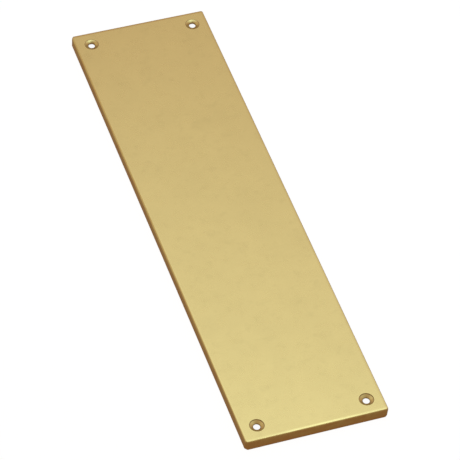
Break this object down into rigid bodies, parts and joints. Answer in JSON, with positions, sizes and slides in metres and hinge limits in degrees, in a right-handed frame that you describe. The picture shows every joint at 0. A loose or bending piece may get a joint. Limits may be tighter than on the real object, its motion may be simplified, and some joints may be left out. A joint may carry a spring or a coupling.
{
  "type": "kick plate",
  "caption": "Narrow rectangular cast brass plate, hollow at the back, with countersunk screw holes at its corners. It is screwed to a door's face to guard it from scuffs and hand marks.",
  "frame": {"origin": "centre of the back plane, where the rim lies on the door", "axes": "+Z out of the front face, +Y along the plate's length, +X across its width"},
  "size_m": [0.0762, 0.2922, 0.007],
  "materials": {
    "polished_brass": "satin polished front and sides, dull cast back"
  },
  "bodies": {
    "root": {"plate": "polished_brass"}
  },
  "joints": []
}
